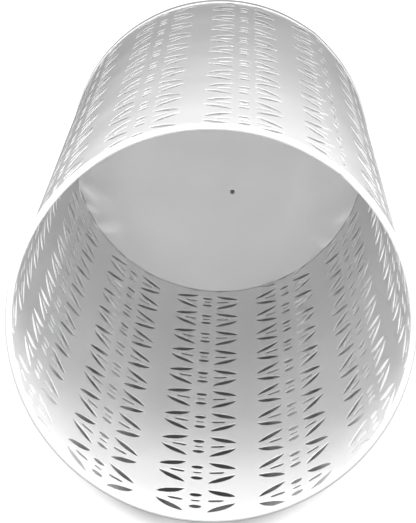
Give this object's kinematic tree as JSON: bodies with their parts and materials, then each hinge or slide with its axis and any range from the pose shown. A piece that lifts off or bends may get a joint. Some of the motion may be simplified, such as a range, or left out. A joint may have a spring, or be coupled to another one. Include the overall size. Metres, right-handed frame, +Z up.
{
  "type": "umbrella stand",
  "caption": "White perforated sheet-steel cylinder, open at the top, with a rolled rim and a recessed base pan, that holds umbrellas upright.",
  "frame": {"origin": "centre of the footprint, on the floor", "axes": "+Z up along the tube's axis, towards the open mouth; +Y towards the wall opposite the front, with the lap seam at the front left of the tube"},
  "size_m": [0.2038, 0.2038, 0.49],
  "materials": {
    "white_powder_coat": "semi-gloss powder coat",
    "pan_powder_coat": "satin powder coat",
    "coated_weld": "powder coat over dressed welds"
  },
  "bodies": {
    "root": {"perforated_wall": "white_powder_coat", "seam_spot_welds": "coated_weld", "rim_hoop": "white_powder_coat", "rim_joint_weld": "coated_weld", "base_pan": "pan_powder_coat", "foot_band": "white_powder_coat", "foot_joint_weld": "coated_weld", "base_spot_welds": "coated_weld"}
  },
  "joints": []
}
